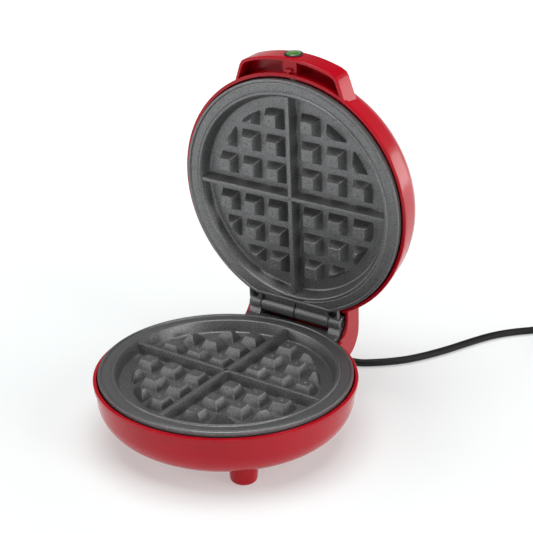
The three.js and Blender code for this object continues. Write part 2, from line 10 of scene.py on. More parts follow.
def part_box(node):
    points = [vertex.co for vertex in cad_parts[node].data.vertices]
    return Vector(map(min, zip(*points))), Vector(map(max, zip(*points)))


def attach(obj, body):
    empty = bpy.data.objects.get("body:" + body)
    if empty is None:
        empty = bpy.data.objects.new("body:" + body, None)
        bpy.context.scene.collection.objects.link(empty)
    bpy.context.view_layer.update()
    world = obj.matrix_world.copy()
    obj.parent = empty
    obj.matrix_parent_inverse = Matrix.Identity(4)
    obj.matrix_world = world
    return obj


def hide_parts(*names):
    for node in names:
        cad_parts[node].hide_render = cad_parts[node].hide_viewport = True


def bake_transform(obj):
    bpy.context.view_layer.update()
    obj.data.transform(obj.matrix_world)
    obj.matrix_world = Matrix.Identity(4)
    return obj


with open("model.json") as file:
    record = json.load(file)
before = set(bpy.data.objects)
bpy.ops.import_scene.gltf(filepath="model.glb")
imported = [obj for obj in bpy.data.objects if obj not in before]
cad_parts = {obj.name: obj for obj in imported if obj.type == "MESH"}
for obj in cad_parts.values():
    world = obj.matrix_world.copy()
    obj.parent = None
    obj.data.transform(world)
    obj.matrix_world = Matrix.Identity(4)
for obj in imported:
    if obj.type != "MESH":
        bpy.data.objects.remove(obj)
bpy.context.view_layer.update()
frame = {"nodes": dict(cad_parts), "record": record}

# Sizes in millimetres, heights of a half measured from its rim's plane
MM = 0.001
SHELL_R = 105.0
SHELL_DEPTH = 45.0
RIM_DROP = 4.0
WALL = 2.5
REAR_FLAT = 92.0
PLATE_R = 101.0
CAVITY_R = 88.0
CAVITY_DEPTH = 10.0
BUMP_FIRST = 17.0
BUMP_PITCH = 23.4
BUMP_BASE = 17.0
BUMP_TOP = 10.0
BUMP_DROP = 1.8
BUMP_LIMIT_R = 75.0
CLOSE_GAP = 0.4
OPEN_TURN = radians(86)
BARREL_R = 6.5
PIN_R = 2.0
KNUCKLE_IN = 33.6
KNUCKLE_OUT = 45.0
TAIL_HALF = 49.0
HANDLE_R = 118.5
POCKET_R = 105.2
HANDLE_END = [(43.4, -109.6), (45.5, -106.4), (51, -90.6), (53.2, -84.2)]
POCKET_END = [(41.4, -107.6), (43.1, -105)]
HANDLE_DEPTH = 22.0
REAR_CHORD = 94.5
TAB_SCREW = (38.2, 94.7)
LAMP_HEIGHT = 14.0
FOOT_AT = 53.5
FOOT_R = 10.7
PAD_WELL_R = 7.3
BOSS_R = 75.0
CORD_R = 3.25
EXIT_Z = 20.5
EXIT_END = 122.0
FINE = 144          # steps round a large turned piece

# Places taken from the frame
dish_low, dish_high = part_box("lower_reflector")
AXIS_Y = (dish_low[1] + dish_high[1]) / 2
PLATE_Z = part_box("base_shell")[1][2] + RIM_DROP * MM
LID_Z = PLATE_Z + CLOSE_GAP * MM
pin_low, pin_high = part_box("hinge_pin")
HINGE = Vector((0, (pin_low[1] + pin_high[1]) / 2, (pin_low[2] + pin_high[2]) / 2))
HINGE_H = (HINGE.z - PLATE_Z) / MM      # above the lower rim's plane

AXIS = Matrix.Translation((0, AXIS_Y, 0))
TO_BASE = Matrix.Translation((0, 0, PLATE_Z))
TO_LID = Matrix.Translation((0, 0, LID_Z)) @ AXIS @ Matrix.Rotation(pi, 4, "X") @ AXIS.inverted()
OPENED = Matrix.Translation(HINGE) @ Matrix.Rotation(-OPEN_TURN, 4, "X") @ Matrix.Translation(-HINGE)


def at(x, y, z):
    """A place in metres from millimetres about the plates' axis."""
    return Vector((x * MM, AXIS_Y + y * MM, z * MM))


# ---------------------------------------------------------------- modelling by hand

def only(*pieces):
    bpy.ops.object.select_all(action="DESELECT")
    for piece in pieces:
        piece.select_set(True)
    bpy.context.view_layer.objects.active = pieces[0]


def edit(piece):
    only(piece)
    bpy.ops.object.mode_set(mode="EDIT")
    bpy.ops.mesh.select_all(action="SELECT")


def finish_edit():
    bpy.ops.object.mode_set(mode="OBJECT")


def trace(name, places):
    """Starts a piece as one point and extrudes it from place to place."""
    bpy.ops.object.select_all(action="DESELECT")
    bpy.ops.mesh.primitive_plane_add(size=MM, location=places[0])
    piece = bpy.context.object
    piece.name = name
    edit(piece)
    bpy.ops.mesh.merge(type="CENTER")
    for here, there in zip(places, places[1:]):
        bpy.ops.mesh.extrude_region_move(TRANSFORM_OT_translate={"value": there - here})
    finish_edit()
    only(piece)
    bpy.ops.object.transform_apply()
    return piece


def lathe(name, profile, steps=64, centre=(0.0, 0.0)):
    """Spins a profile of (radius, height) about an upright line."""
    cx, cy = centre
    piece = trace(name, [at(cx + r, cy, z) for r, z in profile])
    edit(piece)
    bpy.ops.mesh.spin(steps=steps, angle=2 * pi, center=at(cx, cy, 0), axis=(0, 0, 1))
    bpy.ops.mesh.select_all(action="SELECT")
    bpy.ops.mesh.remove_doubles(threshold=1e-6)
    bpy.ops.mesh.normals_make_consistent(inside=False)
    finish_edit()
    return piece


def prism(name, outline, push):
    """A flat closed outline of places in metres, filled and extruded."""
    piece = trace(name, outline)
    edit(piece)
    bpy.ops.mesh.edge_face_add()
    bpy.ops.mesh.extrude_region_move(TRANSFORM_OT_translate={"value": push})
    bpy.ops.mesh.select_all(action="SELECT")
    bpy.ops.mesh.normals_make_consistent(inside=False)
    finish_edit()
    return piece


def block(name, x, y, z):
    """A box between pairs of millimetre limits."""
    corner = [at(x[0], y[0], z[0]), at(x[1], y[0], z[0]), at(x[1], y[1], z[0]), at(x[0], y[1], z[0])]
    return prism(name, corner, Vector((0, 0, (z[1] - z[0]) * MM)))


def laid(place, angle, axis):
    """Lays down a piece drawn upright on the plates' axis, with its foot at the place."""
    return Matrix.Translation(place) @ Matrix.Rotation(angle, 4, axis) @ AXIS.inverted()


def quarter_turn(count):
    """A turn about the plates' axis by a number of quarters."""
    return AXIS @ Matrix.Rotation(count * pi / 2, 4, "Z") @ AXIS.inverted()


def settle(piece, matrix):
    """Moves a finished shape and leaves its place in its mesh."""
    only(piece)
    piece.matrix_world = matrix
    bpy.ops.object.transform_apply()
    if matrix.determinant() < 0:
        edit(piece)
        bpy.ops.mesh.normals_make_consistent(inside=False)
        finish_edit()
    return piece


def copy_of(piece, matrix):
    only(piece)
    bpy.ops.object.duplicate()
    return settle(bpy.context.object, matrix)


def combine(piece, others, operation):
    """Joins, cuts or keeps the shared part with each of the other pieces, which are used up."""
    for other in others:
        only(piece)
        change = piece.modifiers.new("combine", "BOOLEAN")
        change.operation = operation
        change.solver = "EXACT"
        change.object = other
        bpy.ops.object.modifier_apply(modifier=change.name)
        bpy.data.objects.remove(other)
    return piece


def round_edges(piece, width, segments=3, angle=35):
    only(piece)
    bevel = piece.modifiers.new("round", "BEVEL")
    bevel.width = width * MM
    bevel.segments = segments
    bevel.limit_method = "ANGLE"
    bevel.angle_limit = radians(angle)
    bpy.ops.object.modifier_apply(modifier=bevel.name)
    return piece


def slice_off(piece, place, normal):
    """Cuts a closed shape with a plane and drops what lies on the normal's side."""
    edit(piece)
    bpy.ops.mesh.bisect(plane_co=place, plane_no=normal, use_fill=True, clear_outer=True)
    finish_edit()
    return piece


def smooth(piece, angle=30):
    """Smooth shading that keeps the broad faces flat and turns only over the rounded edges."""
    only(piece)
    bpy.ops.object.shade_smooth_by_angle(angle=radians(angle))
    weighted = piece.modifiers.new("weighted", "WEIGHTED_NORMAL")
    weighted.keep_sharp = True
    bpy.ops.object.modifier_apply(modifier=weighted.name)
    return piece


def join_up(name, pieces):
    only(*pieces)
    bpy.ops.object.join()
    whole = bpy.context.object
    whole.name = name
    return whole


def finish_piece(piece, name, body, material, stands_for):
    piece.name = name
    piece.data.materials.clear()
    piece.data.materials.append(material)
    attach(piece, body)
    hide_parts(*stands_for)
    return piece


# ---------------------------------------------------------------- materials

def linear(code):
    """sRGB hex to linear RGBA."""
    parts = [int(code[i:i + 2], 16) / 255 for i in (1, 3, 5)]
    return [p / 12.92 if p <= 0.04045 else ((p + 0.055) / 1.055) ** 2.4 for p in parts] + [1.0]


def node(tree, kind, settings=None, **links):
    """Adds a node, sets its fields and sockets, and links sockets given as outputs."""
    made = tree.nodes.new(kind)
    for key, value in (settings or {}).items():
        if isinstance(key, int) or key in made.inputs:
            made.inputs[key].default_value = value
        else:
            setattr(made, key, value)
    for key, output in links.items():
        index = int(key[1:]) if key[1:].isdigit() else key.replace("_", " ")
        tree.links.new(output, made.inputs[index])
    return made


def finish_of(name, roughness, metallic=0.0, **extra):
    material = bpy.data.materials.new(name)
    material.use_nodes = True
    tree = material.node_tree
    shader = tree.nodes["Principled BSDF"]
    shader.inputs["Roughness"].default_value = roughness
    shader.inputs["Metallic"].default_value = metallic
    for key, value in extra.items():
        shader.inputs[key.replace("_", " ")].default_value = value
    place = tree.nodes.new("ShaderNodeTexCoord").outputs["Object"]
    return material, tree, shader, place


def mottle(tree, place, grain_mm, low, high, detail=3.0, edges=(0.35, 0.65)):
    """A colour that wanders between two shades over patches of the given size."""
    noise = node(tree, "ShaderNodeTexNoise", {"Scale": 1 / (grain_mm * MM), "Detail": detail}, Vector=place)
    ramp = node(tree, "ShaderNodeValToRGB", None, Fac=noise.outputs["Fac"])
    ramp.color_ramp.elements[0].position = edges[0]
    ramp.color_ramp.elements[0].color = linear(low)
    ramp.color_ramp.elements[1].position = edges[1]
    ramp.color_ramp.elements[1].color = linear(high)
    return ramp.outputs["Color"], noise.outputs["Fac"]


def roughen(tree, shader, place, grain_mm, low, high):
    noise = node(tree, "ShaderNodeTexNoise", {"Scale": 1 / (grain_mm * MM), "Detail": 4.0}, Vector=place)
    spread = node(tree, "ShaderNodeMapRange", {"To Min": low, "To Max": high}, Value=noise.outputs["Fac"])
    tree.links.new(spread.outputs["Result"], shader.inputs["Roughness"])


def raise_grain(tree, shader, height, depth_mm, strength=1.0):
    bump = node(tree, "ShaderNodeBump", {"Distance": depth_mm * MM, "Strength": strength}, Height=height)
    tree.links.new(bump.outputs["Normal"], shader.inputs["Normal"])


def red_gloss_abs():
    """Injection-moulded ABS in deep red: a hard gloss with a faint waviness from the mould."""
    material, tree, shader, place = finish_of("red gloss ABS", 0.16, IOR=1.5, Specular_IOR_Level=0.3)
    colour, _ = mottle(tree, place, 40, "#A30216", "#AB041B", 2.0)
    tree.links.new(colour, shader.inputs["Base Color"])
    roughen(tree, shader, place, 9, 0.15, 0.22)
    wave = node(tree, "ShaderNodeTexNoise", {"Scale": 1 / (14 * MM), "Detail": 2.0}, Vector=place)
    raise_grain(tree, shader, wave.outputs["Fac"], 0.05, 0.5)
    return material


def nonstick_coating():
    """Sprayed non-stick on cast aluminium: dark grey satin with mica flakes and a fine grain."""
    material, tree, shader, place = finish_of("sprayed non-stick coating", 0.4, 0.75, IOR=1.45)
    colour, grain = mottle(tree, place, 0.6, "#4C4C4D", "#8C8C8D", 6.0, (0.32, 0.68))
    flake = node(tree, "ShaderNodeTexVoronoi", {"Scale": 1 / (0.8 * MM)}, Vector=place)
    sparkle = {"From Min": 0.0, "From Max": 0.22, "To Min": 0.35, "To Max": 0.0}
    shine = node(tree, "ShaderNodeMapRange", sparkle, Value=flake.outputs["Distance"])
    lit = node(tree, "ShaderNodeMix", {"data_type": "RGBA", "blend_type": "MIX"})
    tree.links.new(shine.outputs["Result"], lit.inputs[0])
    tree.links.new(colour, lit.inputs[6])
    lit.inputs[7].default_value = linear("#BDBDBF")
    tree.links.new(lit.outputs[2], shader.inputs["Base Color"])
    roughen(tree, shader, place, 2.5, 0.34, 0.46)
    raise_grain(tree, shader, grain, 0.1, 0.5)
    return material


def steel(name, low, high, roughness, stretch=(1, 1, 14)):
    """Drawn or turned steel: fine lines along the working direction."""
    material, tree, shader, place = finish_of(name, roughness, 1.0)
    lines = node(tree, "ShaderNodeMapping", {"Scale": stretch}, Vector=place)
    colour, grain = mottle(tree, lines.outputs["Vector"], 1.5, low, high)
    tree.links.new(colour, shader.inputs["Base Color"])
    roughen(tree, shader, lines.outputs["Vector"], 1.2, roughness - 0.06, roughness + 0.1)
    raise_grain(tree, shader, grain, 0.02, 0.5)
    return material


def moulded(name, low, high, roughness, grain_mm=0.8, depth_mm=0.03, **extra):
    """Matte moulded plastic, rubber or ceramic: a fine even grain."""
    material, tree, shader, place = finish_of(name, roughness, 0.0, **extra)
    colour, _ = mottle(tree, place, 12, low, high)
    tree.links.new(colour, shader.inputs["Base Color"])
    grain = node(tree, "ShaderNodeTexNoise", {"Scale": 1 / (grain_mm * MM), "Detail": 3.0}, Vector=place)
    raise_grain(tree, shader, grain.outputs["Fac"], depth_mm, 0.6)
    roughen(tree, shader, place, 4, roughness - 0.05, roughness + 0.07)
    return material


def green_lens():
    """Green transparent polycarbonate, lit from the surface by the room."""
    material, tree, shader, place = finish_of("green polycarbonate lens", 0.08, IOR=1.58, Coat_Weight=0.6,
                                              Coat_Roughness=0.03)
    colour, _ = mottle(tree, place, 6, "#2A571C", "#5C9440", 2.0, (0.3, 0.7))
    tree.links.new(colour, shader.inputs["Base Color"])
    roughen(tree, shader, place, 5, 0.06, 0.12)
    return material


def woven_sleeve():
    """Glass-fibre sleeving: a fine diagonal braid."""
    material, tree, shader, place = finish_of("glass-fibre sleeving", 0.85)
    turned = node(tree, "ShaderNodeMapping", {"Rotation": (0.6, 0.8, 0.4)}, Vector=place)
    braid = node(tree, "ShaderNodeTexChecker", {"Scale": 1 / (0.9 * MM), "Color1": linear("#EDE8DC"),
                                                "Color2": linear("#CFC8B8")}, Vector=turned.outputs["Vector"])
    tree.links.new(braid.outputs["Color"], shader.inputs["Base Color"])
    raise_grain(tree, shader, braid.outputs["Fac"], 0.08, 0.6)
    return material


RED = red_gloss_abs()
NONSTICK = nonstick_coating()
STAINLESS = steel("drawn stainless steel", "#A9A8A4", "#C6C5C1", 0.3)
BLACKENED = steel("black oxide steel", "#2C2C2E", "#4A4A4C", 0.36)
ALUMINIUM = steel("pressed aluminium sheet", "#B9BABC", "#D4D5D7", 0.34, (3, 3, 3))
BRASS = steel("rolled brass", "#A98845", "#C7A661", 0.28)
RUBBER = moulded("black nitrile rubber", "#161616", "#232324", 0.75)
BLACK = moulded("satin black PVC", "#101011", "#1A1A1B", 0.42, 0.6, 0.02, IOR=1.5)
FLEX = moulded("dull black PVC cable sheath", "#08080A", "#0E0E0F", 0.5, 0.6, 0.02, Specular_IOR_Level=0.3)
CERAMIC = moulded("white steatite", "#DAD4C6", "#EAE5DA", 0.6)
GREEN = green_lens()
GLASS = moulded("lamp glass", "#C9D6CF", "#E2ECE6", 0.08, IOR=1.5, Transmission_Weight=0.7)
SLEEVE = woven_sleeve()


# ---------------------------------------------------------------- camera and light

def set_camera():
    turn, rise = radians(33.6), radians(23.55)
    distance = 1.087
    aim = at(38.6, 0, 154.0)
    back = Vector((sin(turn) * cos(rise), -cos(turn) * cos(rise), sin(rise)))
    data = bpy.data.cameras.new("camera")
    data.lens = 97.8
    data.sensor_width = 36
    camera = bpy.data.objects.new("camera", data)
    camera.location = aim + back * distance
    camera.rotation_euler = back.to_track_quat("Z", "Y").to_euler()
    bpy.context.collection.objects.link(camera)
    bpy.context.scene.camera = camera


def area_light(name, place, aim, size, power):
    data = bpy.data.lights.new(name, "AREA")
    data.shape = "RECTANGLE"
    data.size, data.size_y = size
    data.energy = power
    light = bpy.data.objects.new(name, data)
    light.location = place
    light.rotation_euler = (Vector(place) - Vector(aim)).to_track_quat("Z", "Y").to_euler()
    bpy.context.collection.objects.link(light)


def set_light():
    """A studio bright round the horizon and dim overhead, with soft lamps above and to the sides."""
    world = bpy.data.worlds.new("studio")
    bpy.context.scene.world = world
    world.use_nodes = True
    bpy.context.scene.view_settings.view_transform = "Standard"
    tree = world.node_tree
    ray = node(tree, "ShaderNodeTexCoord")
    split = node(tree, "ShaderNodeSeparateXYZ", None, Vector=ray.outputs["Generated"])
    ramp = node(tree, "ShaderNodeValToRGB", None, Fac=split.outputs["Z"])
    for stop, position, shade in zip(ramp.color_ramp.elements, (0.02, 0.62), ("#E4E4E4", "#4A4A4A")):
        stop.position = position
        stop.color = linear(shade)
    tree.links.new(ramp.outputs["Color"], tree.nodes["Background"].inputs["Color"])
    tree.nodes["Background"].inputs["Strength"].default_value = 0.8
    area_light("left_window", (-1.6, -1.5, 1.0), (0, 0, 0.12), (1.4, 1.4), 14)
    area_light("top_softbox", (0.0, -0.1, 2.0), (0, 0, 0), (1.6, 1.6), 38)
    area_light("right_strip", (1.7, -0.1, 0.8), (0, 0, 0.14), (0.6, 1.4), 13)
    area_light("low_rear_panel", (1.35, 1.55, 0.3), (0, 0, 0.1), (1.6, 0.6), 10)


def lay_floor():
    """A white floor with a painted glow: it glows a little under the object, which paints shade there, and
    more towards its edges.
    """
    bpy.ops.object.select_all(action="DESELECT")
    bpy.ops.mesh.primitive_plane_add(size=12, location=(0, 0, -0.0002))
    floor = bpy.context.object
    floor.name = "floor"
    material, tree, shader, place = finish_of("white floor with painted glow", 0.65)
    colour, _ = mottle(tree, place, 600, "#B9BEBE", "#BDC2C2")
    tree.links.new(colour, shader.inputs["Base Color"])
    # Painted light: the floor glows though it is no lamp; the glow is weakest near the object as painted
    # shade and strongest towards the edges.
    shader.inputs["Emission Color"].default_value = linear("#F4F4F3")
    away = node(tree, "ShaderNodeVectorMath", {"operation": "LENGTH"}, Vector=place)
    rise = {"From Min": 0.15, "From Max": 1.2, "To Min": 0.42, "To Max": 0.9}
    painted_glow = node(tree, "ShaderNodeMapRange", rise, Value=away.outputs["Value"])
    tree.links.new(painted_glow.outputs["Result"], shader.inputs["Emission Strength"])
    floor.data.materials.append(material)


set_camera()
set_light()
lay_floor()


# ---------------------------------------------------------------- power cord

CORD_ROUTE = [
    (0, 122.3, 20.5), (0.1, 126, 20.4), (1.2, 132, 18.8), (4.6, 139, 15.2), (11.6, 147, 9.4),
    (21, 152.5, 5.2), (31.5, 156.5, 3.6), (43, 164.5, 3.4), (53, 173.5, 3.4), (62.5, 184, 3.4),
    (71, 196.5, 3.4), (78.5, 210, 3.4), (85.5, 224.5, 3.4), (92, 240, 3.4), (99, 256, 3.4),
    (107, 271.5, 3.4), (118, 286.5, 3.4), (132, 301, 3.4)]
HEADING = radians(42)
COIL_OUT_R = 38.5
COIL_IN_R = 32.0
COIL_TURNS = 2.25
LEAD_IN = 39.0
PLUG_START = 44.0
BLADE_OFF = 6.35


def onward(place, distance, heading):
    return (place[0] + distance * cos(heading), place[1] + distance * sin(heading))


TOUCH = onward(CORD_ROUTE[-1], LEAD_IN, HEADING)
COIL_CENTRE = onward(TOUCH, COIL_OUT_R, HEADING - pi / 2)
LEAVE = HEADING + pi / 2 - 2 * pi * COIL_TURNS
LEAVE_POINT = onward(COIL_CENTRE, (COIL_OUT_R + COIL_IN_R) / 2, LEAVE)
AWAY = LEAVE - pi / 2


def coil_points():
    """Two turns side by side on the table and a quarter turn on top of them."""
    points = []
    per_turn = 16
    for i in range(int(COIL_TURNS * per_turn) + 1):
        turns = i / per_turn
        inward = min(max((turns - 0.8) / 0.4, 0), 1)
        climb = min(max((turns - 1.85) / 0.35, 0), 1)
        r = COIL_OUT_R + (COIL_IN_R - COIL_OUT_R) * inward
        r += ((COIL_OUT_R + COIL_IN_R) / 2 - COIL_IN_R) * climb
        z = 3.4 + 5.8 * climb
        x, y = onward(COIL_CENTRE, r, HEADING + pi / 2 - 2 * pi * turns)
        points.append((x, y, z))
    return points


def make_cord():
    run_up = [(*onward(CORD_ROUTE[-1], step, HEADING), 3.4) for step in (13, 26)]
    off = [(*onward(LEAVE_POINT, step, AWAY), z)
           for step, z in ((9, 9.8), (17, 10.2), (26, 9.4), (34, 8.0), (PLUG_START, 7.4))]
    points = CORD_ROUTE + run_up + coil_points() + off
    data = bpy.data.curves.new("power_cord", "CURVE")
    data.dimensions = "3D"
    data.bevel_depth = CORD_R * MM
    data.bevel_resolution = 6
    data.resolution_u = 6
    data.use_fill_caps = True
    spline = data.splines.new("BEZIER")
    spline.bezier_points.add(len(points) - 1)
    for knot, (x, y, z) in zip(spline.bezier_points, points):
        knot.co = at(x, y, z)
        knot.handle_left_type = knot.handle_right_type = "AUTO"
    flex = bpy.data.objects.new("flex", data)
    bpy.context.collection.objects.link(flex)
    data.materials.append(FLEX)
    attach(flex, "base")
    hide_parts("power_cord", "cord_coil", "plug_lead")
    return flex


def plug_place():
    """Turns a piece drawn upright at the plates' axis to lie along the cord's end."""
    x, y = onward(LEAVE_POINT, PLUG_START, AWAY)
    lie = Matrix.Rotation(AWAY, 4, "Z") @ Matrix.Rotation(pi / 2, 4, "Y")
    return Matrix.Translation(at(x, y, 7.4)) @ lie @ Matrix.Translation((0, -AXIS_Y, 0))


def make_plug():
    """A ribbed neck and a waisted grip, with two flat blades that have a hole each."""
    neck = lathe("neck", [
        (0, 0), (4.2, 0), (4.3, 0.6), (4.3, 2.4), (3.9, 2.8), (3.9, 3.4), (4.6, 3.8), (4.6, 5.6), (4.1, 6),
        (4.1, 6.6), (4.9, 7), (4.9, 8.8), (4.4, 9.2), (4.4, 9.8), (5.3, 10.4), (5.6, 14.5), (0, 14.5)], 32)
    grip = lathe("grip", [
        (0, 13), (7, 13), (8.4, 13.6), (10, 17), (9.5, 21), (9.5, 26), (10.5, 30), (10.6, 32.6), (9.8, 33.8),
        (9.2, 34), (0, 34)], 48)
    grip = settle(grip, AXIS @ Matrix.Diagonal((0.66, 1.22, 1, 1)) @ AXIS.inverted())
    plug = smooth(combine(neck, [grip], "UNION"), 38)
    finish_piece(settle(plug, plug_place()), "plug", "base", BLACK, ["plug_body"])
    blades = []
    for side, name in ((-1, "left"), (1, "right")):
        off = side * BLADE_OFF
        blade = block("blade", (-3.2, 3.2), (off - 0.75, off + 0.75), (33, 50))
        round_edges(blade, 0.35, 2)
        hole = lathe("hole", [(0, -2), (1.6, -2), (1.6, 2), (0, 2)], 20)
        crosswise = Matrix.Translation((0, off * MM, 46 * MM)) @ AXIS @ Matrix.Rotation(pi / 2, 4, "X")
        combine(blade, [settle(hole, crosswise @ AXIS.inverted())], "DIFFERENCE")
        settle(smooth(blade), plug_place())
        blades.append(finish_piece(blade, f"plug_pin_{name}", "base", BRASS, [f"plug_blade_{name}"]))
    return [plug, *blades]


def make_strain_relief():
    """Moulded relief: a flange at the housing and a taper of flexible ribs."""
    profile = [(0, 77.2), (6.3, 77.2), (6.5, 77.6), (6.5, 79.5), (5.4, 79.6), (5.4, 92.4), (7.8, 92.4),
               (8.1, 92.8), (8.1, 94.2), (7.6, 94.6), (6.6, 95)]
    ribs = 7
    pitch = (EXIT_END - 96.5) / ribs
    for i in range(ribs):
        y = 95.6 + i * pitch
        r = 6.4 - 1.9 * i / ribs
        profile += [(r, y), (r - 0.1, y + 0.62 * pitch)]
        profile += [(r - 1.0, y + 0.7 * pitch), (r - 1.1, y + 0.92 * pitch)]
    profile += [(4.3, EXIT_END - 0.9), (4.1, EXIT_END - 0.2), (3.7, EXIT_END), (0, EXIT_END)]
    relief = smooth(lathe("relief", profile, 40), 40)
    settle(relief, laid(at(0, 0, EXIT_Z), -pi / 2, "X"))
    return finish_piece(relief, "cord_relief", "base", BLACK, ["strain_relief"])


flex = make_cord()
plug_parts = make_plug()
relief = make_strain_relief()


# ---------------------------------------------------------------- shells

def shell_profile(inset, top):
    """Section of a shell's solid body, from the axis at the bottom to the axis at the top."""
    low = -SHELL_DEPTH + inset
    corner_x, corner_z = 72.5, -19.0
    wide, deep = 29.8 - inset, 26.0 - inset
    profile = [(0, low), (corner_x * 0.5, low), (corner_x, low)]
    for i in range(1, 13):
        turn = pi / 2 - (i / 12) * (pi / 2 - 0.12)
        profile.append((corner_x + wide * cos(turn), corner_z - deep * sin(turn)))
    if inset:
        wall = SHELL_R - inset
        profile += [(wall - 1.5, -9.6), (wall - 0.3, -8), (wall, top), (0, top)]
        return profile
    profile += [(103.4, -9.9), (103.45, -9.3), (103.7, -8.85), (104.4, -8.65), (104.65, -8.3),
                (105, -5.0), (104.9, -4.4), (104.6, -4.1), (104.2, top), (0, top)]
    return profile


def shell_solid(name, inset, top):
    return lathe(name, shell_profile(inset, top), FINE)


def make_base_shell():
    outer = settle(shell_solid("outer", 0, -RIM_DROP), TO_BASE)
    slice_off(outer, at(0, REAR_FLAT, 0), (0, 1, 0))
    inner = settle(shell_solid("inner", WALL, 1), TO_BASE)
    slice_off(inner, at(0, REAR_FLAT - WALL, 0), (0, 1, 0))
    bottom = PLATE_Z / MM - SHELL_DEPTH
    foot_places = [(sx * FOOT_AT, sy * FOOT_AT) for sx, sy in ((1, -1), (1, 1), (-1, 1), (-1, -1))]
    profile = [(0, 0.6), (FOOT_R - 3.2, 0.6), (FOOT_R - 1.6, 1.0), (FOOT_R - 0.5, 2.1), (FOOT_R, 3.8),
               (FOOT_R + 0.5, bottom), (FOOT_R + 0.8, bottom + 5), (0, bottom + 5)]
    combine(outer, [lathe("foot", profile, 40, place) for place in foot_places], "UNION")
    rear = block("rear", (-48, 48), (88, 100), (PLATE_Z / MM - 5.2, PLATE_Z / MM + 1))
    along_y = laid(at(0, 0, EXIT_Z), -pi / 2, "X")
    boss = settle(lathe("boss", [(0, 80), (8.2, 80), (8.2, 91.4), (7.6, 92), (0, 92)], 40), along_y)
    bore = settle(lathe("bore", [(0, 70), (5.9, 70), (5.9, 100), (0, 100)], 32), along_y)
    seat = settle(lathe("seat", [(0, 70), (6.9, 70), (6.9, 80), (0, 80)], 32), along_y)
    outer = combine(combine(outer, [inner], "DIFFERENCE"), [boss], "UNION")
    wells = [rear, bore, seat]
    for place in foot_places:
        pad_well = [(0, -1), (PAD_WELL_R, -1), (PAD_WELL_R, 1.8), (0, 1.8)]
        wells.append(lathe("pad_well", pad_well, 32, place))
    for place in ((0, -BOSS_R), (BOSS_R, 0), (0, BOSS_R - 8), (-BOSS_R, 0)):
        screw_well = [(0, 8), (5.2, 8), (4.5, bottom + 0.8), (4.4, bottom + 2), (0, bottom + 2.2)]
        wells.append(lathe("screw_well", screw_well, 24, place))
        wells.append(lathe("screw_hole", [(0, 9), (2.1, 9), (2.1, 36), (0, 36)], 16, place))
    shell = combine(outer, wells, "DIFFERENCE")
    return finish_piece(smooth(shell, 28), "base_body", "base", RED, ["base_shell"])


def handle_arc(radius, reach, steps):
    end = asin(reach / radius)
    return [(radius * sin(i / steps * end), -radius * cos(i / steps * end)) for i in range(-steps, steps + 1)]


def between_ends(arc, end):
    return [(-x, y) for x, y in reversed(end)] + arc + end


def handle_outline():
    return between_ends(handle_arc(HANDLE_R, 39, 14), HANDLE_END)


def pocket_outline():
    near = list(reversed(handle_arc(POCKET_R, 47.2, 12)))
    return between_ends(handle_arc(HANDLE_R - WALL, 38, 14), POCKET_END) + near


def upright(name, outline, low, high):
    return prism(name, [at(x, y, low) for x, y in outline], Vector((0, 0, (high - low) * MM)))


# Side outlines of the lid's rear hinge cover, as (y, height above the lower rim's plane), lid closed
TAIL_OUTER = [
    (80, 27.5), (112, 27.1), (119, 26.6), (124, 25.2), (128.6, 22.8), (132.4, 19.6), (135.4, 15.6),
    (137.5, 11), (138.7, 5.5), (139.2, 0), (139.3, -6.6), (119.2, -5.6), (118.9, -3.6), (118.2, -1.4),
    (116.9, 0.9), (115, 2.9), (112.7, 5), (109.9, 6.9), (106, 8.1), (102, 8.7), (80, 9)]
TAIL_INNER = [
    (70, 24.9), (112, 24.6), (118.4, 24.1), (122.8, 22.9), (127, 20.7), (130.4, 17.8), (133.1, 14.3),
    (135, 10.2), (136.2, 5), (136.7, 0), (136.8, -12), (70, -12)]


def across(name, outline, half):
    rim = PLATE_Z / MM
    places = [at(-half, y, rim + z) for y, z in outline]
    return prism(name, places, Vector((2 * half * MM, 0, 0)))


def make_lid_shell():
    lid = LID_Z / MM
    rim = lid + RIM_DROP
    outer = settle(shell_solid("outer", 0, -RIM_DROP), TO_LID)
    inner = settle(shell_solid("inner", WALL, 1), TO_LID)
    handle = round_edges(upright("handle", handle_outline(), rim, lid + HANDLE_DEPTH), 1.3, 3, 40)
    tail = round_edges(across("tail", TAIL_OUTER, TAIL_HALF), 1.1, 3, 40)
    pocket = upright("pocket", pocket_outline(), rim - 6, lid + HANDLE_DEPTH - WALL)
    housing = block("housing", (-6.4, 6.4), (-125, -95), (lid + 7.5, lid + 40))
    web = block("web", (-1.1, 1.1), (-108.4, -95), (rim + 0.8, lid + 40))
    bar = block("bar", (-3, 3), (-108.6, -106.8), (rim + 0.8, rim + 3.4))
    pocket = round_edges(combine(pocket, [housing, web, bar], "DIFFERENCE"), 0.6, 3, 40)
    hollow = across("hollow", TAIL_INNER, TAIL_HALF - WALL)
    along_y = laid(at(0, 0, lid + LAMP_HEIGHT), pi / 2, "X")
    sleeve = settle(lathe("sleeve", [(0, 113), (6.35, 113), (6.35, 125), (0, 125)], 40), along_y)
    bore = settle(lathe("bore", [(0, 98), (4.7, 98), (4.7, 114), (0, 114)], 32), along_y)
    combine(outer, [handle, tail], "UNION")
    combine(outer, [inner, pocket, hollow, sleeve, bore], "DIFFERENCE")
    screw_places = [(side * TAB_SCREW[0], TAB_SCREW[1]) for side in (-1, 1)]
    boss = [(0, lid + 4.8), (3.5, lid + 4.8), (3.5, lid + 25.6), (0, lid + 25.6)]
    combine(outer, [lathe("boss", boss, 24, place) for place in screw_places], "UNION")
    hole = [(0, lid + 4), (1.95, lid + 4), (1.95, lid + 18), (0, lid + 18)]
    combine(outer, [lathe("screw_hole", hole, 16, place) for place in screw_places], "DIFFERENCE")
    settle(smooth(outer, 28), OPENED)
    return finish_piece(outer, "lid_body", "lid", RED, ["lid_shell"])


make_base_shell()
make_lid_shell()


# ---------------------------------------------------------------- cooking plates

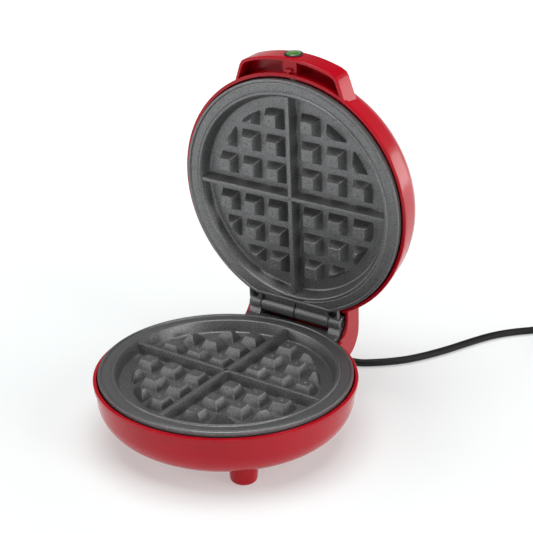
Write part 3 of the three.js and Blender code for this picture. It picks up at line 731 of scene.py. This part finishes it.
def plate_disc():
    """Rim, step line, flange, bead and cavity in one turned section."""
    under = -CAVITY_DEPTH - 3
    profile = [(0, under), (83.5, under), (89, -6), (89, -3.4), (98.4, -3.4), (98.6, -4.3), (98.9, -4.5),
               (100.7, -4.5), (PLATE_R, -4.2), (PLATE_R, -0.9), (100.8, -0.35), (100.3, -0.05), (99.6, 0.0),
               (98.95, -0.02), (98.7, -0.25), (98.45, -0.75), (98.1, -0.95), (97.6, -0.75), (97.2, -0.6),
               (91.8, -0.6), (91.4, -0.75), (91, -0.95), (90.6, -0.75), (90.25, -0.2), (89.8, 0), (89, 0.02),
               (88.5, -0.15), (88.0, -0.6), (87.6, -1.4), (85.3, -8.2), (84.9, -9.1), (84.2, -9.7),
               (83.2, -10), (0, -10)]
    return lathe("disc", profile, FINE)


def make_bump(x, y):
    """A flat-topped pyramid with a flared foot: a square drawn in step by step as it rises."""
    steps = [(-CAVITY_DEPTH - 0.3, BUMP_BASE / 2 + 0.6), (-CAVITY_DEPTH + 0.3, BUMP_BASE / 2 + 0.1),
             (-CAVITY_DEPTH + 0.9, BUMP_BASE / 2 - 0.25), (-BUMP_DROP, BUMP_TOP / 2)]
    foot, half = steps[0]
    corners = [at(x + sx * half, y + sy * half, foot) for sx, sy in ((-1, -1), (1, -1), (1, 1), (-1, 1))]
    bump = trace("bump", corners)
    edit(bump)
    bpy.ops.mesh.edge_face_add()
    for (z0, half0), (z1, half1) in zip(steps, steps[1:]):
        bpy.ops.mesh.extrude_region_move(TRANSFORM_OT_translate={"value": (0, 0, (z1 - z0) * MM)})
        bpy.ops.transform.resize(value=(half1 / half0, half1 / half0, 1), center_override=at(x, y, z1))
    bpy.ops.mesh.select_all(action="SELECT")
    bpy.ops.mesh.normals_make_consistent(inside=False)
    finish_edit()
    return round_edges(bump, 0.45, 3, 35)


def quarter_bumps():
    """Eight bumps of one quadrant, the outer ones cut by a cone, the others with a dimple on top."""
    places = [(BUMP_FIRST + i * BUMP_PITCH, BUMP_FIRST + j * BUMP_PITCH) for i in range(3) for j in range(3)
              if i + j < 4]
    quarter = join_up("quarter", [make_bump(x, y) for x, y in places])
    limit = lathe("limit", [(0, -14), (BUMP_LIMIT_R + 1.7, -14), (BUMP_LIMIT_R - 4.7, 1), (0, 1)], 96)
    combine(quarter, [limit], "INTERSECT")
    top = -BUMP_DROP
    dimple = [(0, top - 0.22), (0.8, top - 0.3), (1.15, top - 0.1), (1.3, top + 0.3), (0, top + 0.3)]
    whole = [place for place in places if sum(place) < 2 * BUMP_FIRST + 2.5 * BUMP_PITCH]
    dimples = [lathe("dimple", dimple, 16, place) for place in whole]
    return combine(quarter, [join_up("dimples", dimples)], "DIFFERENCE")


def cross_walls():
    half = CAVITY_R - 0.75
    outline = [(-4.3, -10.4), (4.3, -10.4), (3.7, -9.7), (3.3, -9.1), (1.5, -1.15), (-1.5, -1.15),
               (-3.3, -9.1), (-3.7, -9.7)]
    one = prism("wall", [at(-half, y, z) for y, z in outline], Vector((2 * half * MM, 0, 0)))
    round_edges(one, 0.5, 3, 40)
    other = copy_of(one, quarter_turn(1))
    middle = [(0, -9.9), (5.4, -9.9), (4.5, -8.6), (3.1, -1.5), (2.6, -1.2), (0, -1.16)]
    return [one, other, lathe("crossing", middle, 32)]


def grid_plate():
    quarter = quarter_bumps()
    quarters = [copy_of(quarter, quarter_turn(count)) for count in (1, 2, 3)]
    return join_up("plate", [plate_disc(), *cross_walls(), quarter, *quarters])


def hinge_bar(name, x0, x1, radius, chamfer=0.5):
    """A round bar along X on the hinge line."""
    length = x1 - x0
    bar = lathe(name, [(0, 0), (radius - chamfer, 0), (radius, chamfer), (radius, length - chamfer),
                       (radius - chamfer, length), (0, length)], 48)
    return settle(bar, laid(HINGE + Vector((x0 * MM, 0, 0)), pi / 2, "Y"))


def sides(low, high, side):
    return (-high, -low) if side < 0 else (low, high)


def make_lower_plate(plate):
    rim = PLATE_Z / MM
    knuckles = []
    for side in (-1, 1):
        x0, x1 = sides(KNUCKLE_IN, KNUCKLE_OUT, side)
        arm = [(88, -4.4), (110.5, -4.4), (112, -2), (112.4, HINGE_H), (100, HINGE_H), (100.6, 4.4),
               (99.7, 1.8), (98, 0.1), (95.5, -0.5), (88, -0.75)]
        places = [at(x0 + 0.05, y, rim + z) for y, z in arm]
        bracket = round_edges(prism("arm", places, Vector(((x1 - x0 - 0.1) * MM, 0, 0))), 0.5, 2, 30)
        combine(bracket, [hinge_bar("knuckle", x0, x1, BARREL_R + 0.4)], "UNION")
        combine(bracket, [hinge_bar("bore", x0 - 1, x1 + 1, PIN_R + 0.3, 0.1)], "DIFFERENCE")
        knuckles.append(bracket)
    reach = KNUCKLE_IN + 0.5
    shelf = round_edges(block("shelf", (-reach, reach), (88, 104.4), (rim - 4.4, rim - 0.8)), 0.6)
    plate = smooth(join_up("plate", [plate, shelf, *knuckles]), 32)
    return finish_piece(plate, "lower_grid", "base", NONSTICK, ["lower_plate"])


def make_tab(side):
    """A screw tab beside the barrels, with a sunk seat for its screw."""
    lid = LID_Z / MM
    x, y = side * TAB_SCREW[0], TAB_SCREW[1]
    tab = round_edges(block("tab", sides(31.5, 44, side), (84, 100), (lid + 0.55, lid + 4.6)), 0.9, 3, 40)
    sink = lathe("sink", [(0, lid), (4.4, lid), (4, lid + 1.2), (4, lid + 2.2), (0, lid + 2.2)], 32, (x, y))
    hole = lathe("hole", [(0, lid), (2, lid), (2, lid + 6), (0, lid + 6)], 20, (x, y))
    return combine(tab, [sink, hole], "DIFFERENCE")


def make_upper_plate(plate):
    rim, lid = PLATE_Z / MM, LID_Z / MM
    parts = []
    for side in (-1, 1):
        x0, x1 = sides(0.4, KNUCKLE_IN - 0.6, side)
        roll = hinge_bar("roll", x0, x1, BARREL_R + 0.4)
        combine(roll, [hinge_bar("bore", x0 - 0.5, x1 + 0.5, PIN_R + 0.3, 0.1)], "DIFFERENCE")
        web = block("web", sides(0.6, 31, side), (86, 101.2), (rim + 5.1, rim + 9.4))
        parts += [roll, web, make_tab(side)]
    combine(plate, [block("chord", (-36, 36), (91, 115), (lid - 1, lid + 20))], "DIFFERENCE")
    section = [(90.5, 0.6), (91.2, 0.75), (91.6, 0.95), (91.9, 0.75), (92.2, 0.25), (92.5, 0.02), (93.1, 0),
               (94, 0.05), (94.4, 0.4), (REAR_CHORD, 0.9), (REAR_CHORD, 4.4),
               (92, 4.4), (91.8, 3.4), (90.5, 3.4)]
    border = prism("border", [at(-36, y, lid + z) for y, z in section], Vector((72 * MM, 0, 0)))
    plate = join_up("plate", [plate, border, *parts])
    settle(smooth(plate, 32), OPENED)
    return finish_piece(plate, "upper_grid", "lid", NONSTICK, ["upper_plate"])


grid = grid_plate()
upper_grid = copy_of(grid, TO_LID)
make_lower_plate(settle(grid, TO_BASE))
make_upper_plate(upper_grid)


# ---------------------------------------------------------------- indicator, screws, hinge pin

def radial(piece):
    """Lays a piece drawn upright so that it points out of the handle's top."""
    lie = Matrix.Translation(at(0, 0, LID_Z / MM + LAMP_HEIGHT)) @ Matrix.Rotation(pi / 2, 4, "X")
    return settle(piece, OPENED @ lie @ AXIS.inverted())


def make_indicator():
    """A thin black bezel round a low green dome."""
    bezel = lathe("bezel", [
        (5.3, 113.4), (6.3, 113.4), (6.3, 118.7), (7.2, 118.75), (7.45, 118.95), (7.4, 119.25), (7.1, 119.5),
        (6.6, 119.6), (6.25, 119.4), (6.2, 118.85), (5.3, 118.8), (5.3, 113.4)], 64)
    finish_piece(radial(smooth(bezel)), "indicator_bezel", "lid", BLACK, ["lens_bezel"])
    profile = [(0, 113.6), (5.1, 113.6), (5.1, 118.95), (6.1, 119), (6.1, 119.3)]
    for i in range(1, 9):
        turn = (i / 8) * pi / 2
        profile.append((6.1 * cos(turn), 119.3 + 1.1 * sin(turn)))
    lens = lathe("lens", profile, 64)
    finish_piece(radial(smooth(lens, 50)), "indicator_cap", "lid", GREEN, ["indicator_lens"])


def make_tab_screws():
    """Pan-head screws with a cross recess, seen on the two tabs of the upper plate."""
    lid = LID_Z / MM
    for side, name in ((-1, "left"), (1, "right")):
        x, y = side * TAB_SCREW[0], TAB_SCREW[1]
        body = lathe("screw", [
            (0, lid + 0.15), (2.2, lid + 0.2), (3.2, lid + 0.5), (3.6, lid + 1.1), (3.6, lid + 1.9),
            (1.6, lid + 1.9), (1.6, lid + 14.5), (0, lid + 16)], 32, (x, y))
        slots = [block("slot", (x - 1.9, x + 1.9), (y - 0.4, y + 0.4), (lid - 1, lid + 1.2)),
                 block("slot", (x - 0.4, x + 0.4), (y - 1.9, y + 1.9), (lid - 1, lid + 1.2))]
        combine(body, slots, "DIFFERENCE")
        settle(smooth(body, 35), OPENED)
        finish_piece(body, f"cross_screw_{name}", "lid", BLACKENED, [f"tab_screw_{name}"])


def make_hinge_pin():
    length = KNUCKLE_OUT * 2 + 1
    start = -KNUCKLE_OUT - 0.6
    profile = [(0, 0), (1.6, 0), (PIN_R, 0.4), (PIN_R, length), (3.2, length), (3.6, length + 0.25),
               (3.45, length + 0.7), (2.9, length + 0.9), (1.2, length + 0.9), (1.0, length + 0.45),
               (0, length + 0.4)]
    pin = lathe("pin", profile, 36)
    settle(pin, laid(HINGE + Vector((start * MM, 0, 0)), pi / 2, "Y"))
    finish_piece(smooth(pin), "pin", "base", BLACKENED, ["hinge_pin"])


make_indicator()
make_tab_screws()
make_hinge_pin()


# ---------------------------------------------------------------- cable across the hinge

def make_lid_cable():
    """The heater's sleeved supply: out of the base, up behind the barrels and into the lid."""
    points = [(-18, 84, 40), (-18, 96, 40), (-18, 106, 43), (-18, 114, 50), (-18, 117.2, 60),
              (-18, 117.6, 72), (-18, 119, 86), (-18, 123, 98)]
    data = bpy.data.curves.new("cable", "CURVE")
    data.dimensions = "3D"
    data.bevel_depth = 1.9 * MM
    data.bevel_resolution = 5
    data.use_fill_caps = True
    spline = data.splines.new("BEZIER")
    spline.bezier_points.add(len(points) - 1)
    for knot, place in zip(spline.bezier_points, points):
        knot.co = at(*place)
        knot.handle_left_type = knot.handle_right_type = "AUTO"
    cable = bpy.data.objects.new("cable", data)
    bpy.context.collection.objects.link(cable)
    only(cable)
    bpy.ops.object.convert(target="MESH")
    cable = smooth(bpy.context.object, 60)
    cable.name = "hinge_cable"
    cable.data.materials.append(RUBBER)
    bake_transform(cable)
    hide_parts("lid_cable")


make_lid_cable()


# ---------------------------------------------------------------- pieces kept from the frame

SLOT_FINISH = {
    "stainless_steel": STAINLESS, "blackened_steel": BLACKENED, "sheet_aluminium": ALUMINIUM, "brass": BRASS,
    "rubber": RUBBER, "black_plastic": BLACK, "green_lens": GREEN, "ceramic": CERAMIC, "clear_glass": GLASS,
    "braided_sleeve": SLEEVE, "red_plastic": RED, "nonstick_coating": NONSTICK}


def finish_kept_nodes():
    for entry in frame["record"]["subparts"]:
        kept = frame["nodes"][entry["node"]]
        for slot in kept.material_slots:
            slot.material = SLOT_FINISH[entry["material_slot"]]


finish_kept_nodes()
